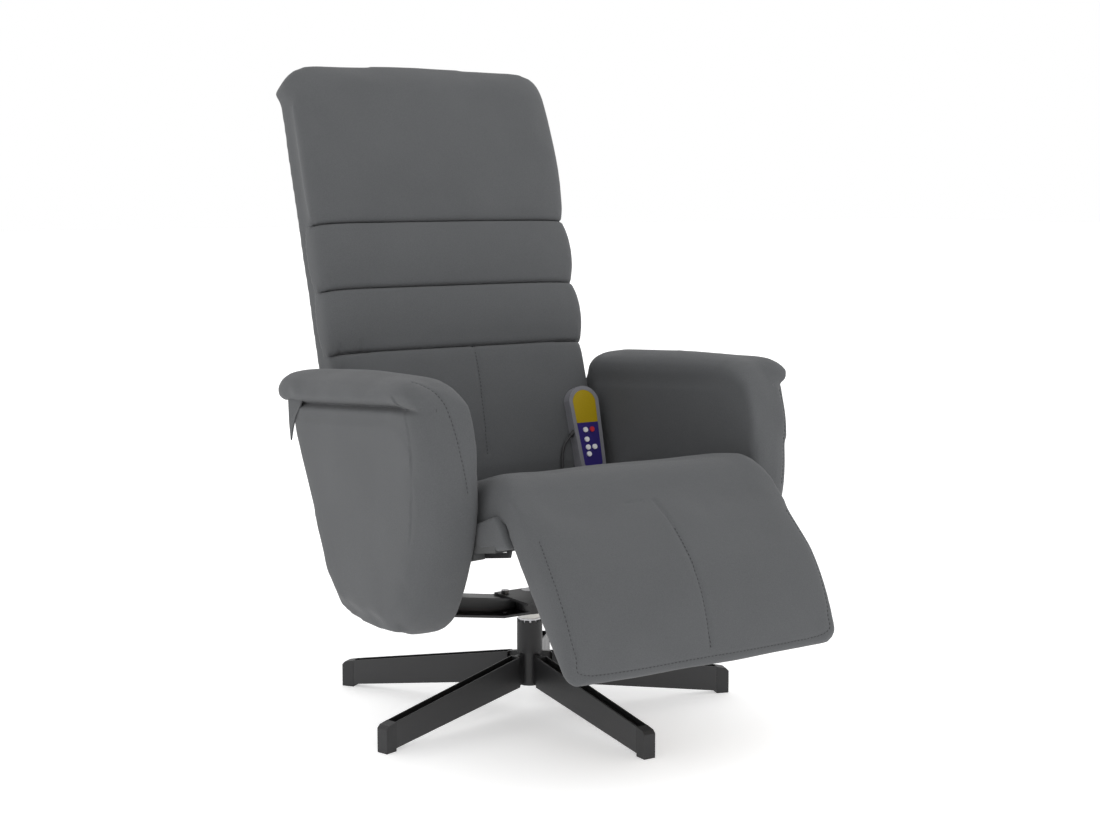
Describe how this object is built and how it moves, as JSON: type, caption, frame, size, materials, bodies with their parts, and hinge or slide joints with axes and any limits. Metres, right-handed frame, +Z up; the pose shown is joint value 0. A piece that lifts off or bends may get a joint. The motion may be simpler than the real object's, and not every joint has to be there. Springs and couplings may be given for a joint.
{
  "type": "massage recliner",
  "caption": "Upholstered reclining armchair on a star-shaped swivel base, with a linked leg rest, hidden vibration units and a wired handset lying on the seat.",
  "frame": {"origin": "middle of the chair's bounding box, on the floor", "axes": "+Z up, -Y to the front that the sitter faces, +X to the right of a viewer who looks at the front"},
  "size_m": [0.7144, 0.8975, 1.0705],
  "materials": {
    "fabric": "soft brushed upholstery cloth",
    "black_steel": "satin black powder coat",
    "plywood": "plain sanded plywood",
    "dark_lining": "cloth-wrapped frame boards",
    "steel": "zinc plated",
    "black_plastic": "fine grain moulded",
    "nylon": "natural nylon",
    "handset_shell": "fine grain moulded",
    "overlay": "printed film, a yellow field above a blue field",
    "white_button": "satin",
    "red_button": "satin",
    "cord": "matt sheath"
  },
  "bodies": {
    "base": {"base_hub": "black_steel", "base_leg_1": "black_steel", "base_leg_2": "black_steel", "base_leg_3": "black_steel", "base_leg_4": "black_steel", "base_leg_5": "black_steel", "column_cover": "black_plastic", "foot_caps": "black_plastic", "spindle": "steel"},
    "seat": {"arm_board_left": "plywood", "arm_board_right": "plywood", "arm_pad_left": "fabric", "arm_pad_right": "fabric", "arm_roll_left": "fabric", "arm_roll_right": "fabric", "control_box": "black_plastic", "cord_grommet": "black_plastic", "cord_relief": "black_plastic", "crossbar": "black_steel", "footrest_pins": "steel", "frame_bolts": "steel", "handset_back": "handset_shell", "handset_cord": "cord", "handset_front": "handset_shell", "handset_panel": "overlay", "hinge_arm_left": "black_steel", "hinge_arm_right": "black_steel", "plate_bolts": "steel", "recline_pins": "steel", "seat_apron": "dark_lining", "seat_cushion": "fabric", "seat_deck": "dark_lining", "seat_motors": "black_plastic", "seat_rail_left": "dark_lining", "seat_rail_right": "dark_lining", "swivel_bush": "nylon", "swivel_plate": "black_steel"},
    "backrest": {"back_board": "plywood", "back_bracket_left": "black_steel", "back_bracket_right": "black_steel", "back_motors": "black_plastic", "back_panel": "fabric", "bracket_bolts": "steel", "head_pad": "fabric", "lower_roll": "fabric", "lumbar_pad": "fabric", "recline_lever": "black_steel", "upper_roll": "fabric"},
    "footrest": {"footrest_board": "plywood", "footrest_bracket_left": "black_steel", "footrest_bracket_right": "black_steel", "footrest_lever": "black_steel", "footrest_pad": "fabric"},
    "push_rod": {"push_rod": "black_steel"},
    "button_power": {"button_power": "white_button"},
    "button_red": {"button_red": "red_button"},
    "button_zone": {"button_zone": "white_button"},
    "button_mode_left": {"button_mode_left": "white_button"},
    "button_mode_right": {"button_mode_right": "white_button"},
    "button_level": {"button_level": "white_button"}
  },
  "joints": [
    {"name": "seat_swivel", "type": "hinge", "parent": "base", "child": "seat", "pos_m": [0, 0.0345, 0.17], "axis": [0, 0, 1], "continuous": true},
    {"name": "backrest_recline", "type": "hinge", "parent": "seat", "child": "backrest", "pos_m": [0, 0.1779, 0.2414], "axis": [-1, 0, 0], "range_deg": [0, 40]},
    {"name": "footrest_lift", "type": "hinge", "parent": "seat", "child": "footrest", "pos_m": [0, -0.2915, 0.392], "axis": [-1, 0, 0], "range_deg": [0, 40]},
    {"name": "push_rod_pivot", "type": "hinge", "parent": "backrest", "child": "push_rod", "pos_m": [0.1235, 0.1899, 0.1764], "axis": [-1, 0, 0], "range_deg": [-40, 0]},
    {"name": "power_press", "type": "slide", "parent": "seat", "child": "button_power", "axis": [0, 0.9613, -0.2756], "range_m": [0, 0.001], "stiffness_N_per_m": 300},
    {"name": "red_press", "type": "slide", "parent": "seat", "child": "button_red", "axis": [0, 0.9613, -0.2756], "range_m": [0, 0.001], "stiffness_N_per_m": 300},
    {"name": "zone_press", "type": "slide", "parent": "seat", "child": "button_zone", "axis": [0, 0.9613, -0.2756], "range_m": [0, 0.001], "stiffness_N_per_m": 300},
    {"name": "mode_left_press", "type": "slide", "parent": "seat", "child": "button_mode_left", "axis": [0, 0.9613, -0.2756], "range_m": [0, 0.001], "stiffness_N_per_m": 300},
    {"name": "mode_right_press", "type": "slide", "parent": "seat", "child": "button_mode_right", "axis": [0, 0.9613, -0.2756], "range_m": [0, 0.001], "stiffness_N_per_m": 300},
    {"name": "level_press", "type": "slide", "parent": "seat", "child": "button_level", "axis": [0, 0.9613, -0.2756], "range_m": [0, 0.001], "stiffness_N_per_m": 300}
  ],
  "couplings": [
    {"joint": "footrest_lift", "follows": "backrest_recline", "ratio": 1},
    {"joint": "push_rod_pivot", "follows": "backrest_recline", "ratio": -1}
  ]
}
